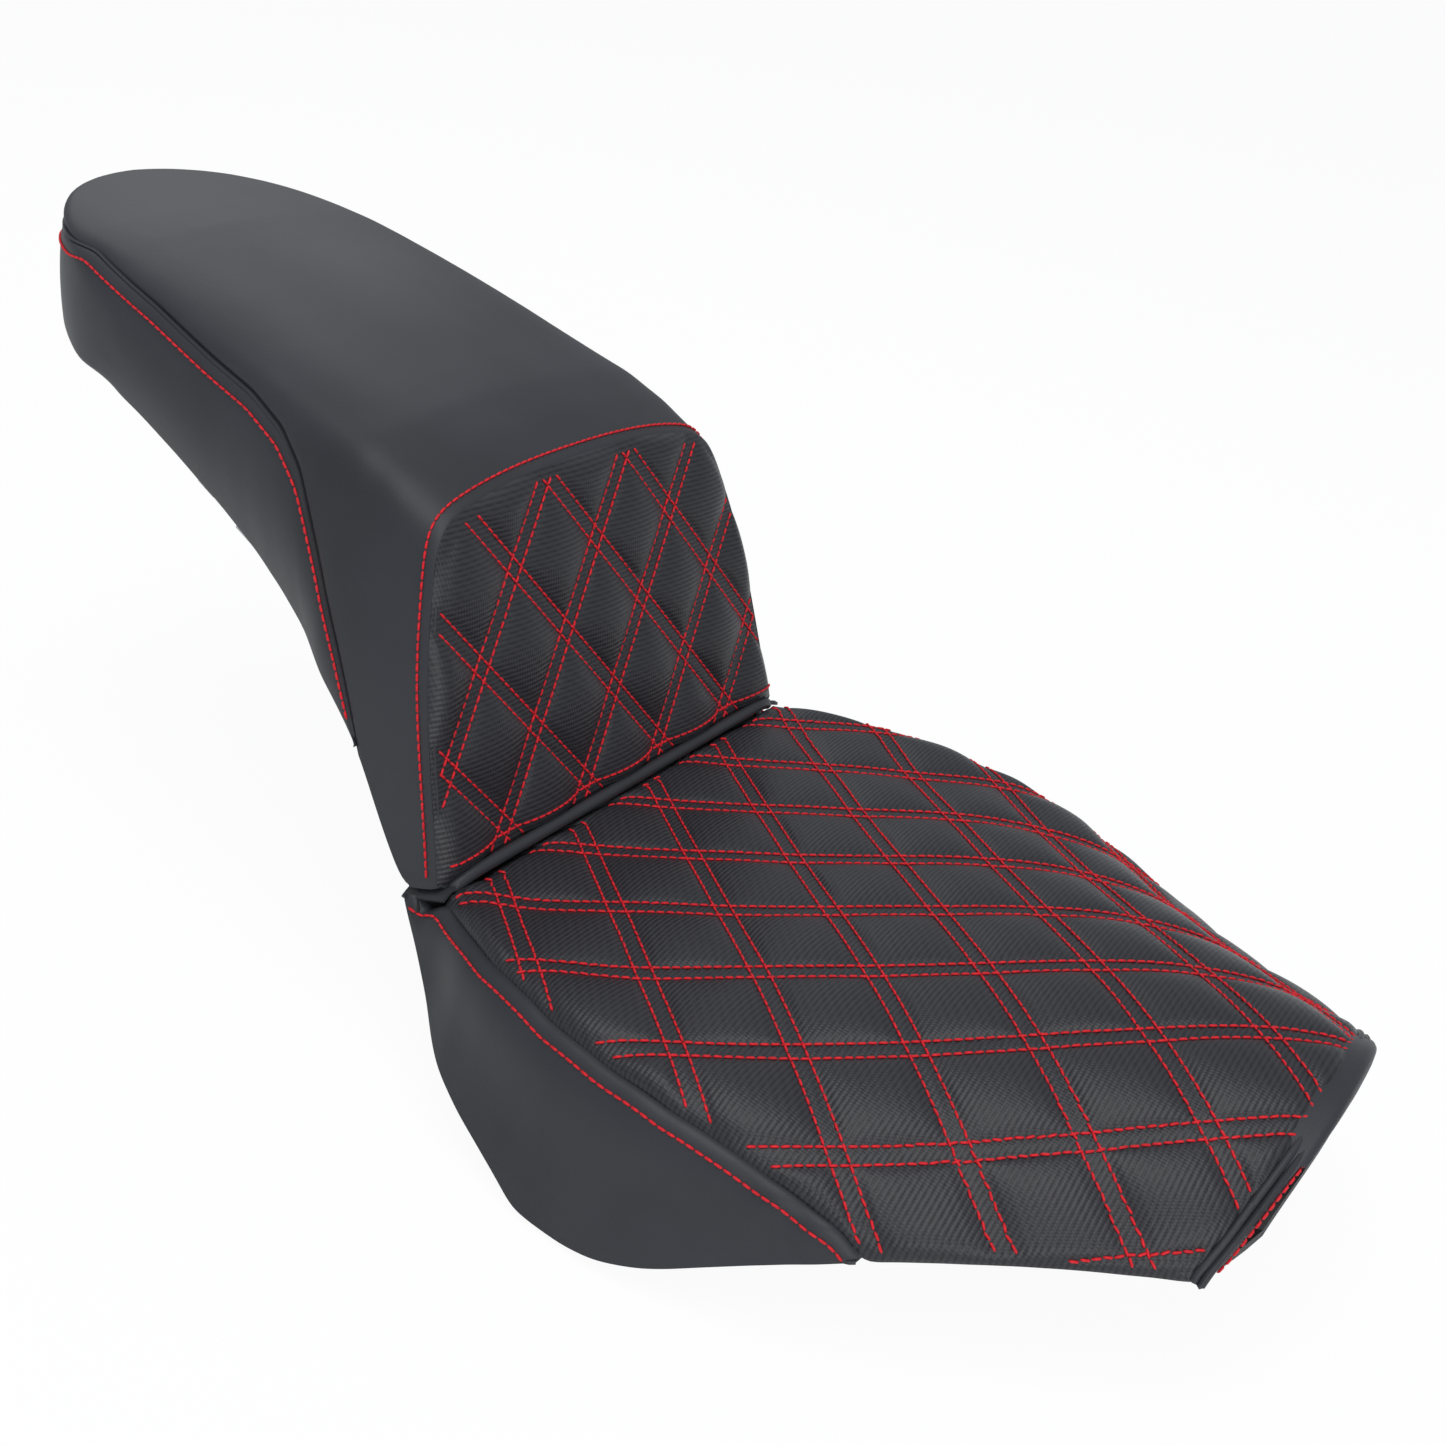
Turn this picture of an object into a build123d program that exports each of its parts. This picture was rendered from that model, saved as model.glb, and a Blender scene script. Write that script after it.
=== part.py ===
"""Step-up two-place motorcycle seat: foam on a moulded pan under a sewn, part-quilted cover.

Working frame: the crease between the rider's seat and the backrest is at x = 0, z = 0,
+X towards the nose, +Y to the left, +Z up. Every piece is saved with the centre of the
rear bolt hole, on the underside of its tab, as the origin.
"""

import math
import os

from build123d import *

# Overall sizes
RIDER_LENGTH = 320.0
RIDER_WIDTH = 330.0
PASSENGER_LENGTH = 290.0
PASSENGER_WIDTH = 164.0
BACKREST_LEAN = 15.7
BACKREST_FOOT_X = 11.0
TAIL_ROUND_LENGTH = 90.0

# Shells, foams and clearances
COVER = 1.2
GAP = 0.3
PAN = 3.5
QUILT_FOAM = 6.0
RIM_WIDTH = 24.0
HEM_WIDTH = 15.0
SEAM_INSET = 3.0

# Crease
CREASE_X = 14.0
CREASE_Z = -3.0
CREASE_SLOPE = 20.0
WELT_RADIUS = 2.6
LISTING_RADIUS = 0.9
LISTING_BACK = 12.2
LISTING_LENGTH = 190.0
WELT_CLEARANCE = 0.9

# Nose
NOSE_SEAM_X = 0.966 * RIDER_LENGTH
NOSE_ROUND_RADIUS = 260.0
NOSE_WELT_WIDTH = 3.0
NOSE_WELT_HEIGHT = 1.0

# Brackets
PLATE = 3.0
TONGUE_START_X = 0.70 * RIDER_LENGTH
TONGUE_LENGTH = 84.0
TONGUE_WIDTH = 44.0
TONGUE_TOP_Z = -30.0
TONGUE_SLOT_LENGTH = 20.0
TONGUE_SLOT_WIDTH = 9.0
TAB_WIDTH = 28.0
TAB_HOLE_RADIUS = 4.25
TAB_REACH = 10.0
TAB_FIXED_LENGTH = 72.0
TAB_TOP_Z = 128.0
TONGUE_CORNER = 6.0
TONGUE_SLOT_FROM_END = 18.0
TONGUE_SLOT_X = TONGUE_START_X + TONGUE_LENGTH - TONGUE_SLOT_FROM_END

# Pan details
RIB_HEIGHT = 5.0
RIB_THICKNESS = 3.0
RIB_Y = 22.0
RIB_START_X = -205.0
RIB_END_X = 0.66 * RIDER_LENGTH
VENT_X = 0.36 * RIDER_LENGTH
VENT_Y = 52.0

# Bosses, bumpers and screws
BOSS_RADIUS = 7.0
TONGUE_BOSS_SHARES = (0.14, 0.5)
TONGUE_BOSS_Y = 13.0
TAB_BOSS_FROM_END = (8.0, 26.0)
SCREW_RADIUS = 3.0
SCREW_DEPTH = 7.0
INSERT_RADIUS = 4.5
INSERT_LENGTH = 5.0
DRIVE_RADIUS = 2.3
DRIVE_DEPTH = 2.0
HEAD_RADIUS = 5.0
HEAD_HEIGHT = 3.0
SCREW_CLEARANCE = 0.2
BUMPER_RADIUS = 11.0
BUMPER_HEIGHT = 12.0
BUMPER_ROUND = 1.5
COUNTERBORE_DEPTH = 5.0
VENT_RADIUS = 9.0

# Staples
STAPLE_WIRE = 0.9
STAPLE_CROWN = 10.0
STAPLE_LEG = 4.0
STAPLE_PITCH = 26.0
STAPLE_INSET = 4.0
CREASE_CLEAR = 24.0

# How closely the shaped surfaces are followed
STATION_STEP = 18.0
NOSE_STEP = 4.0
HOLLOW_STEP = 16.0
CROWN_SHARES = (0.0, 0.3, 0.55, 0.78, 0.95)
FLANK_SHARES = (0.12, 0.5, 1.0, 1.25)
ARCH_ANGLES = (90, 68, 50, 38, 22, 0)

TAIL_X = -PASSENGER_LENGTH
TAB_HOLE_X = TAIL_X - TAB_REACH
TAB_BOTTOM_Z = TAB_TOP_Z - PLATE
DATUM = (TAB_HOLE_X, 0.0, TAB_BOTTOM_Z)
TONGUE_BOSSES = [(TONGUE_START_X + share * TONGUE_LENGTH, sign * TONGUE_BOSS_Y, TONGUE_TOP_Z)
                 for share in TONGUE_BOSS_SHARES for sign in (-1, 1)]
TAB_BOSSES = [(TAB_HOLE_X + TAB_FIXED_LENGTH - back, 0, TAB_TOP_Z) for back in TAB_BOSS_FROM_END]
PLATE_BOSSES = TONGUE_BOSSES + TAB_BOSSES
# Name, length share, share of the hollow's half-width, level of the boss above the bumper
BUMPER_ROWS = [("front", 0.50, 0.531, -41.0), ("middle", 0.22, 0.711, -51.0), ("rear", -0.45, 0.583, 94.0)]
HALF_RIDER = RIDER_WIDTH / 2
HALF_PASSENGER = PASSENGER_WIDTH / 2
LINER = COVER + GAP
FAR = 500.0

# Rider stations, nose-ward: length share, centre height, crown power,
# seam (half-width share, height), rim (half-width share, height)
RIDER_STATIONS = [
    (-0.100, -4.0, 4.0, 0.700, -6.0, 0.745, -40.0),
    (0.044, -4.6, 4.0, 0.715, -5.0, 0.790, -46.0),
    (0.125, -5.0, 4.0, 0.795, -5.5, 0.885, -54.0),
    (0.219, -3.6, 4.0, 0.870, -6.5, 0.952, -66.0),
    (0.313, -2.4, 3.5, 0.903, -9.0, 0.994, -76.0),
    (0.406, 0.6, 3.0, 0.912, -12.0, 0.997, -70.0),
    (0.516, 4.2, 2.4, 0.897, -18.0, 0.955, -60.0),
    (0.625, 8.2, 2.15, 0.862, -28.0, 0.890, -44.0),
    (0.703, 10.9, 2.15, 0.792, -33.0, 0.808, -38.0),
    (0.803, 13.6, 2.0, 0.668, -30.0, 0.680, -34.0),
    (0.906, 15.2, 2.0, 0.546, -26.0, 0.558, -30.0),
    (0.966, 14.6, 2.0, 0.476, -24.0, 0.488, -28.0),
    (0.990, 10.8, 2.0, 0.458, -27.0, 0.470, -31.0),
    (1.000, 3.0, 2.0, 0.430, -31.0, 0.442, -35.0),
]

# Passenger stations, tail-ward: length share, then (half-width share, height) from the
# centre line over the soft ridge and down the side
PASSENGER_STATIONS = [
    (-0.09, [(0, 127), (0.49, 126.5), (0.82, 122.5), (0.99, 117),
            (1.15, 99), (1.28, 65), (1.35, 30), (1.44, -14)]),
    (0.07, [(0, 128), (0.49, 127.2), (0.83, 123.5), (1.01, 118),
            (1.15, 100), (1.28, 66), (1.35, 30), (1.43, -14)]),
    (0.12, [(0, 135), (0.49, 133.5), (0.85, 130), (1.03, 125),
            (1.15, 106), (1.27, 70), (1.33, 34), (1.37, 0)]),
    (0.21, [(0, 146), (0.49, 144.3), (0.85, 141), (1.03, 135.5),
            (1.15, 114), (1.23, 85), (1.265, 60), (1.27, 30)]),
    (0.31, [(0, 154), (0.49, 152), (0.85, 148.5), (1.01, 142.5),
            (1.11, 124), (1.135, 100), (1.11, 70), (1.09, 40)]),
    (0.465, [(0, 165), (0.49, 163), (0.84, 159.5), (0.98, 154),
            (1.04, 138), (1.05, 118), (1.0, 90), (0.96, 60)]),
    (0.62, [(0, 174.5), (0.49, 172.5), (0.82, 169), (0.96, 163.5),
            (1.01, 149), (1.02, 132), (0.98, 110), (0.94, 80)]),
    (0.775, [(0, 182), (0.49, 180), (0.79, 176.5), (0.93, 171.5),
            (0.99, 158), (1.0, 144), (0.97, 127), (0.93, 100)]),
    (1.05, [(0, 185), (0.49, 183.5), (0.79, 180), (0.92, 175),
            (0.98, 162), (1.0, 148), (0.97, 130), (0.93, 105)]),
]

# Lower rim in side view, tail to nose: the first list follows the mudguard and the rear
# corner of the rider's seat, the second one runs forward along the frame
RIM_REAR = [(-1.1, 131), (-0.89, 129.5), (-0.76, 124), (-0.56, 100), (-0.39, 75), (-0.24, 54), (-0.145, 36),
            (-0.076, 10), (-0.017, -10), (0.086, -45), (0.207, -63), (0.290, -75)]
RIM_FRONT = [(0.330, -76), (0.48, -65), (0.625, -43), (0.80, -33), (0.91, -30), (1.10, -30)]

# Hollow under the pan, tail to nose: length share, half-width share, top height, base height,
# squareness
HOLLOW_STATIONS = [
    (-0.925, 0.195, 142.0, 108.0, 3.0),
    (-0.89, 0.402, 142.0, 106.0, 3.5),
    (-0.84, 0.561, 141.0, 104.0, 4.0),
    (-0.76, 0.659, 139.0, 100.0, 4.0),
    (-0.56, 0.756, 119.0, 70.0, 4.0),
    (-0.39, 0.805, 98.0, 45.0, 4.0),
    (-0.24, 0.951, 78.0, 25.0, 4.0),
    (-0.145, 1.024, 56.0, 0.0, 4.0),
    (-0.06, 1.098, 0.0, -35.0, 4.0),
    (0.0, 1.146, -27.0, -65.0, 4.0),
    (0.086, 0.679, -34.0, -90.0, 4.0),
    (0.19, 0.788, -40.0, -100.0, 4.0),
    (0.31, 0.836, -40.0, -105.0, 4.0),
    (0.42, 0.836, -37.0, -100.0, 3.6),
    (0.55, 0.776, -32.0, -90.0, 3.2),
    (0.68, 0.655, -26.0, -75.0, 2.8),
    (0.80, 0.509, -19.0, -60.0, 2.5),
    (0.92, 0.382, -13.0, -52.0, 2.3),
    (1.06, 0.315, -11.0, -50.0, 2.2),
]

# Seam between the passenger's top and side panels, in side view
PASSENGER_SEAM = [(-1.10, 172), (-0.90, 175), (-0.77, 173.5), (-0.62, 162), (-0.50, 150.5), (-0.425, 144.5),
                  (-0.36, 136), (-0.31, 123.5), (-0.278, 108),
                  (-0.238, 88), (-0.20, 70), (-0.15, 44), (-0.12, 15), (-0.11, -30)]
# Seam between the rider's quilted top and side panels, in plan
RIDER_SEAM = [(-0.02, 0.685), (0.044, 0.700), (0.156, 0.803), (0.266, 0.862), (0.350, 0.882), (0.438, 0.884),
              (0.516, 0.873), (0.594, 0.856), (0.6625, 0.840), (0.685, 0.90)]


def along(share):
    """Place a length share: negative towards the tail, positive towards the nose."""
    return share * (RIDER_LENGTH if share > 0 else PASSENGER_LENGTH)


def inset(points, distance):
    """Move an open line of (a, b) points to its right by distance, each along its own normal."""
    moved = []
    for i, (a, b) in enumerate(points):
        before = points[max(i - 1, 0)]
        after = points[min(i + 1, len(points) - 1)]
        da, db = after[0] - before[0], after[1] - before[1]
        size = math.hypot(da, db)
        moved.append((a + distance * db / size, b - distance * da / size))
    return moved


def smooth_row(rows, x):
    """Row of values at x between rows of (x, values...), smooth and without overshoot."""
    i = max(k for k in range(len(rows) - 1) if rows[k][0] <= x or k == 0)
    span = rows[i + 1][0] - rows[i][0]
    u = (x - rows[i][0]) / span
    values = []
    for k in range(1, len(rows[0])):
        low, high = rows[i][k], rows[i + 1][k]
        start, end = slope(rows, i, k) * span, slope(rows, i + 1, k) * span
        bend = (2 * u**3 - 3 * u**2 + 1) * low + (3 * u**2 - 2 * u**3) * high
        values.append(bend + (u**3 - 2 * u**2 + u) * start + (u**3 - u**2) * end)
    return values


def slope(rows, i, k):
    """Slope of value k at row i, limited so that the curve stays between its rows."""
    if i == 0 or i == len(rows) - 1:
        return 0.0
    back = (rows[i][k] - rows[i - 1][k]) / (rows[i][0] - rows[i - 1][0])
    ahead = (rows[i + 1][k] - rows[i][k]) / (rows[i + 1][0] - rows[i][0])
    return 2 * back * ahead / (back + ahead) if back * ahead > 0 else 0.0


def stations_between(start, end, step):
    """Evenly spaced places from start to end, about step apart."""
    count = max(2, round((end - start) / step))
    return [start + (end - start) * i / count for i in range(count + 1)]


def section(x, half):
    """Closed section across the seat at x from half a line of (y, z), centre outwards."""
    points = [(-y, z) for y, z in reversed(half[1:])] + list(half)
    curve = Spline(*[(x, y, z) for y, z in points])
    return Face(Wire([curve, Line(curve @ 1, curve @ 0)]))


def side_prism(edges, front_x):
    """Solid across the whole width above a side-view line that is closed at front_x."""
    start, end = edges[0] @ 0, edges[-1] @ 1
    close = Polyline(end, (front_x, 0, end.Z), (front_x, 0, FAR), (start.X, 0, FAR), start)
    return extrude(Face(Wire([*edges, *close.edges()])), amount=FAR, dir=(0, 1, 0), both=True)


def taken_in(half, depth):
    """Half a section's line from the centre outwards, taken in by depth."""
    whole = [(-y, z) for y, z in reversed(half[1:])] + half
    moved = inset(whole, depth)[len(half) - 1:]
    return [(0.0, moved[0][1])] + moved[1:]


def rider_half(values, depth):
    centre, power, seam_w, seam_z, rim_w, rim_z = values
    seam_y, rim_y = seam_w * HALF_RIDER, rim_w * HALF_RIDER
    drop = centre - seam_z
    half = [(f * seam_y, centre - drop * f**power) for f in CROWN_SHARES]
    half += [(seam_y + (rim_y - seam_y) * f, seam_z + (rim_z - seam_z) * f) for f in FLANK_SHARES]
    return taken_in(half, depth)


def rider_block(depth):
    """Rider's seat with its outside taken in by depth."""
    rows = [(row[0] * RIDER_LENGTH, *row[1:]) for row in RIDER_STATIONS]
    roll_x = NOSE_SEAM_X
    places = stations_between(rows[0][0], roll_x, STATION_STEP)
    places += stations_between(roll_x, rows[-1][0], NOSE_STEP)[1:]
    sections = []
    for x in places:
        roll = max(0.0, (x - roll_x) / (rows[-1][0] - roll_x))
        sections.append(section(x - roll * depth, rider_half(smooth_row(rows, x), depth)))
    return loft(sections, ruled=True) & nose_outline(depth)


def nose_outline(depth):
    """Everything inside the gently rounded plan of the nose."""
    centre_x = RIDER_LENGTH - NOSE_ROUND_RADIUS
    return Pos(centre_x, 0, 0) * Cylinder(NOSE_ROUND_RADIUS - depth, 2 * FAR)


def passenger_block(depth):
    """Passenger's seat and backrest block with its outside taken in by depth."""
    rows = []
    for share, line in reversed(PASSENGER_STATIONS):
        flat = [value for w, z in line for value in (w * HALF_PASSENGER, z)]
        rows.append((-share * PASSENGER_LENGTH, *flat))
    sections = []
    for x in stations_between(rows[0][0], rows[-1][0], STATION_STEP):
        values = smooth_row(rows, x)
        half = list(zip(values[::2], values[1::2]))
        sections.append(section(x, taken_in(half, depth)))
    return loft(sections, ruled=True) & tail_outline(depth) & backrest_half_space(depth)


def tail_outline(depth):
    """Everything inside the rounded plan of the tail."""
    centre_x = TAIL_X + TAIL_ROUND_LENGTH
    round_end = Ellipse(TAIL_ROUND_LENGTH - depth, HALF_PASSENGER - depth)
    body = extrude(Pos(centre_x, 0, -FAR) * round_end, amount=2 * FAR)
    return body + Pos(centre_x + FAR, 0, 0) * Box(2 * FAR, 2 * FAR, 2 * FAR)


def backrest_half_space(depth):
    """Everything behind the leaning face of the backrest, moved back by depth."""
    lean = Pos(BACKREST_FOOT_X, 0, 0) * Rot(0, -BACKREST_LEAN, 0)
    return lean * Pos(-FAR - depth, 0, 0) * Box(2 * FAR, 3 * FAR, 4 * FAR)


def crease_place():
    """Place and slope of the plane that parts the two cushions."""
    return Pos(CREASE_X, 0, CREASE_Z) * Rot(0, -CREASE_SLOPE, 0)


def below_crease(depth):
    """Everything under the crease's plane, lowered by depth."""
    return crease_place() * Pos(0, 0, -FAR - depth) * Box(2 * FAR, 2 * FAR, 2 * FAR)


def above_crease(depth):
    """Everything over the crease's plane, raised by depth."""
    return crease_place() * Pos(0, 0, FAR + depth) * Box(2 * FAR, 2 * FAR, 2 * FAR)


def rim_edges(depth):
    """Lower rim in side view, raised by depth square to itself."""
    rear = Spline(*[(x, 0, z) for x, z in inset([(along(s), z) for s, z in RIM_REAR], -depth)])
    front = Spline(*[(x, 0, z) for x, z in inset([(along(s), z) for s, z in RIM_FRONT], -depth)])
    return [rear, Line(rear @ 1, front @ 0), front]


def above_rim(depth):
    """Everything above the lower rim raised by depth."""
    return side_prism(rim_edges(depth), along(RIM_FRONT[-1][0]) + 1.0)


def ahead_of(x):
    """Everything on the nose side of x."""
    return Pos(x + FAR, 0, 0) * Box(2 * FAR, 2 * FAR, 2 * FAR)


def one_side(sign):
    """Everything on the left (+1) or the right (-1)."""
    return Pos(0, sign * FAR, 0) * Box(4 * FAR, 2 * FAR, 4 * FAR)


def rider_seam_prism(distance):
    """Everything over the quilted top in plan, its side seam moved inwards by distance."""
    seam = inset([(along(s), w * HALF_RIDER) for s, w in RIDER_SEAM], distance)
    edge = Spline(*[(x, y, 0) for x, y in seam])
    start, end = edge @ 0, edge @ 1
    close = Polyline(end, (end.X, FAR, 0), (FAR, FAR, 0), (FAR, 0, 0), (start.X, 0, 0), start)
    half = extrude(Face(Wire([edge, *close.edges()])), amount=FAR, dir=(0, 0, 1), both=True)
    return half + mirror(half, about=Plane.XZ)


def hollow_rows():
    """Rows of (x, half-width, top, base, squareness) of the hollow under the pan."""
    rows = []
    for share, width, *values in HOLLOW_STATIONS:
        half = HALF_RIDER if share > 0 else HALF_PASSENGER
        rows.append((along(share), width * half, *values))
    return rows


def hollow(growth):
    """Space under the pan, grown by growth; open at the nose and closed at the tail."""
    rows = hollow_rows()
    sections = []
    for x in stations_between(rows[0][0], rows[-1][0], HOLLOW_STEP):
        width, top, base, squareness = smooth_row(rows, x)
        half_width, height = width + growth, top + growth - base
        half = []
        for degrees in ARCH_ANGLES:
            across, up = math.cos(math.radians(degrees)), math.sin(math.radians(degrees))
            half.append((half_width * across ** (2 / squareness), base + height * up ** (2 / squareness)))
        half[0] = (0.0, half[0][1])
        closed_end = growth if x == rows[0][0] else 0.0
        sections.append(section(x - closed_end, half))
    return loft(sections, ruled=True)


def hollow_half_width(x):
    """Half-width of the hollow at x."""
    return smooth_row(hollow_rows(), x)[0]


def bumper_places():
    """Name and place of each bumper, at the level of the boss above it."""
    places = []
    for row, share, width, z in BUMPER_ROWS:
        x = along(share)
        y = width * hollow_half_width(x)
        places += [(f"{row}_{side}", x, sign * y, z) for side, sign in (("left", 1), ("right", -1))]
    return places


def largest(shape):
    """Biggest solid of a shape."""
    return max(shape.solids(), key=lambda solid: solid.volume)


def save(node, *solids):
    """Write one node, moved so that the rear bolt hole is the origin."""
    shape = solids[0] if len(solids) == 1 else Compound(children=list(solids))
    moved = Pos(-DATUM[0], -DATUM[1], -DATUM[2]) * shape
    export_step(moved, f"parts/{node}.step")


def save_sides(node, shape):
    """Write the left and right halves of a shape as two nodes."""
    for side, sign in (("left", 1), ("right", -1)):
        save(f"{node}_{side}", largest(shape & one_side(sign)))


def make_covers():
    """Sewn cover: the panels share their seams and end in a hem under the rim."""
    hem_opening = hollow(PAN + RIM_WIDTH - HEM_WIDTH)
    rider = (rider_block(0) & above_rim(0) & below_crease(0)) - (rider_block(COVER) & above_rim(COVER))
    nose = rider & ahead_of(NOSE_SEAM_X)
    save("nose_cover", largest(nose - hollow(PAN + GAP)))
    rider = rider - ahead_of(NOSE_SEAM_X) - hem_opening
    quilt = largest(rider & rider_seam_prism(0))
    save("rider_quilt_cover", quilt)
    save_sides("rider_side_cover", rider - quilt)

    outside = passenger_block(0) & above_rim(0) & above_crease(0)
    passenger = outside - (passenger_block(COVER) & above_rim(COVER)) - hem_opening
    front = largest(passenger - backrest_half_space(COVER))
    save("backrest_quilt_cover", front)
    behind = passenger & backrest_half_space(COVER)
    seam = Spline(*[(along(s), 0, z) for s, z in PASSENGER_SEAM])
    top = largest(behind & side_prism([seam], FAR))
    save("passenger_top_cover", top)
    save_sides("passenger_side_cover", behind - top)


def make_welts():
    """Folded welt on the nose seam and rolled welt in the crease."""
    slab = ahead_of(NOSE_SEAM_X - NOSE_WELT_WIDTH / 2) - ahead_of(NOSE_SEAM_X + NOSE_WELT_WIDTH / 2)
    welt = (rider_block(-NOSE_WELT_HEIGHT) - rider_block(0)) & slab & above_rim(0)
    save("nose_welt", largest(welt))
    lean = math.radians(BACKREST_LEAN)
    z = RIDER_STATIONS[1][1] + WELT_CLEARANCE + WELT_RADIUS
    x = BACKREST_FOOT_X - z * math.tan(lean) + (GAP + WELT_RADIUS) / math.cos(lean)
    length = 2 * (RIDER_STATIONS[1][3] * HALF_RIDER - WELT_RADIUS - SEAM_INSET)
    save("crease_welt", Pos(x, 0, z) * Rot(90, 0, 0) * Cylinder(WELT_RADIUS, length))


def make_foams():
    """Cushions, the sew foam under the quilting, and the wire that holds the crease down."""
    floor = above_rim(LINER + PAN + GAP)
    pan_space = hollow(PAN + GAP)
    split = LISTING_RADIUS + GAP
    front_limit = NOSE_SEAM_X - SEAM_INSET

    rider = (rider_block(LINER) & floor & below_crease(split)) - pan_space
    quilt_area = rider_seam_prism(SEAM_INSET) - ahead_of(front_limit)
    quilt = (rider & quilt_area) - rider_block(LINER + QUILT_FOAM)
    save("rider_quilt_foam", largest(quilt))
    pocket = rider_seam_prism(SEAM_INSET - GAP) - ahead_of(front_limit + GAP)
    pocket = pocket - rider_block(LINER + QUILT_FOAM + GAP)
    save("rider_foam", largest(rider - pocket))

    passenger = (passenger_block(LINER) & floor & above_crease(split)) - pan_space
    save("backrest_quilt_foam", largest(passenger - backrest_half_space(LINER + QUILT_FOAM)))
    save("passenger_foam", largest(passenger & backrest_half_space(LINER + QUILT_FOAM + GAP)))

    place = crease_place() * Pos(-LISTING_BACK, 0, 0)
    save("listing_wire", place * Rot(90, 0, 0) * Cylinder(LISTING_RADIUS, LISTING_LENGTH))


def upright(x, y, bottom, radius, height):
    """Upright cylinder that stands on a level."""
    return Pos(x, y, bottom + height / 2) * Cylinder(radius, height)


def ring(x, y, bottom, outer, inner, height):
    """Upright tube that stands on a level."""
    return upright(x, y, bottom, outer, height) - upright(x, y, bottom, inner, height)


def make_pan():
    """Pan: follows the hollow, with a rim all round, bosses, ribs, vents and blind holes."""
    bumpers = [(x, y, z) for _, x, y, z in bumper_places()]
    screw_places = PLATE_BOSSES + bumpers
    bosses = [upright(x, y, z, BOSS_RADIUS, FAR) for x, y, z in PLATE_BOSSES]
    bosses += [upright(x, y, z, BUMPER_RADIUS, FAR) for x, y, z in bumpers]
    ribs = [Pos((RIB_START_X + RIB_END_X) / 2, sign * RIB_Y, 0)
            * Box(RIB_END_X - RIB_START_X, RIB_THICKNESS, 2 * FAR) for sign in (1, -1)]
    inner = hollow(-RIB_HEIGHT)
    space = hollow(0)
    for rib in ribs:
        space = space - (rib - inner)
    for boss in bosses:
        space = space - boss
    over = above_rim(LINER + PAN) - hollow(PAN)
    rider = (rider_block(LINER) & above_rim(LINER) & below_crease(0)) - space - over
    passenger = (passenger_block(LINER) & above_rim(LINER) & above_crease(0)) - space - over
    pan = rider + passenger
    for x, y, z in screw_places:
        pan = pan - upright(x, y, z, INSERT_RADIUS, INSERT_LENGTH)
        pan = pan - upright(x, y, z, SCREW_RADIUS + SCREW_CLEARANCE, SCREW_DEPTH)
    for sign in (1, -1):
        pan = pan - upright(VENT_X, sign * VENT_Y, -FAR, VENT_RADIUS, 2 * FAR)
    save("base_pan", largest(pan))
    bore = SCREW_RADIUS + SCREW_CLEARANCE
    inserts = [ring(x, y, z, INSERT_RADIUS, bore, INSERT_LENGTH) for x, y, z in screw_places]
    save("threaded_inserts", *inserts)


def screw(x, y, seat, reach):
    """Pan-head screw with its head under seat and its shank reach long."""
    head = upright(x, y, seat - HEAD_HEIGHT, HEAD_RADIUS, HEAD_HEIGHT)
    drive = Pos(x, y, seat - HEAD_HEIGHT + DRIVE_DEPTH / 2) * extrude(
        RegularPolygon(DRIVE_RADIUS, 6), amount=DRIVE_DEPTH / 2, both=True)
    return head + upright(x, y, seat, SCREW_RADIUS, reach) - drive


def make_brackets():
    """Front tongue with its slot, rear tab with its bolt hole, and their screws."""
    reach = PLATE + INSERT_LENGTH
    hole = SCREW_RADIUS + SCREW_CLEARANCE
    end_x = TONGUE_START_X + TONGUE_LENGTH
    middle_x = (TONGUE_START_X + end_x) / 2
    tongue = Pos(middle_x, 0, TONGUE_TOP_Z - PLATE / 2) * Box(TONGUE_LENGTH, TONGUE_WIDTH, PLATE)
    tongue = fillet(tongue.edges().filter_by(Axis.Z), TONGUE_CORNER)
    slot = Pos(TONGUE_SLOT_X, 0, TONGUE_TOP_Z - PLATE) * extrude(
        SlotOverall(TONGUE_SLOT_LENGTH, TONGUE_SLOT_WIDTH), amount=PLATE)
    tongue = tongue - slot
    for x, y, z in TONGUE_BOSSES:
        tongue = tongue - upright(x, y, z - PLATE, hole, PLATE)
    save("front_tongue", tongue)
    save("tongue_screws", *[screw(x, y, z - PLATE, reach) for x, y, z in TONGUE_BOSSES])

    tab_end = TAB_HOLE_X + TAB_FIXED_LENGTH
    middle_x = (TAB_HOLE_X + tab_end) / 2
    tab = Pos(middle_x, 0, TAB_TOP_Z - PLATE / 2) * Box(TAB_FIXED_LENGTH, TAB_WIDTH, PLATE)
    tab = tab + upright(TAB_HOLE_X, 0, TAB_BOTTOM_Z, TAB_WIDTH / 2, PLATE)
    tab = tab - upright(TAB_HOLE_X, 0, TAB_BOTTOM_Z, TAB_HOLE_RADIUS, PLATE)
    for x, y, z in TAB_BOSSES:
        tab = tab - upright(x, y, z - PLATE, hole, PLATE)
    save("rear_tab", tab)
    save("tab_screws", *[screw(x, y, z - PLATE, reach) for x, y, z in TAB_BOSSES])


def make_bumpers():
    """Rubber bumpers under the pan, each on a sunk screw."""
    wall = BUMPER_HEIGHT - COUNTERBORE_DEPTH
    screws = []
    for name, x, y, z in bumper_places():
        body = upright(x, y, z - BUMPER_HEIGHT, BUMPER_RADIUS, BUMPER_HEIGHT)
        body = fillet(body.edges().group_by(Axis.Z)[0], BUMPER_ROUND)
        body = body - upright(x, y, z - BUMPER_HEIGHT, SCREW_RADIUS + SCREW_CLEARANCE, BUMPER_HEIGHT)
        body = body - upright(x, y, z - BUMPER_HEIGHT, HEAD_RADIUS + SCREW_CLEARANCE, COUNTERBORE_DEPTH)
        save(f"bumper_{name}", body)
        screws.append(screw(x, y, z - wall, wall + INSERT_LENGTH))
    save("bumper_screws", *screws)


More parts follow.
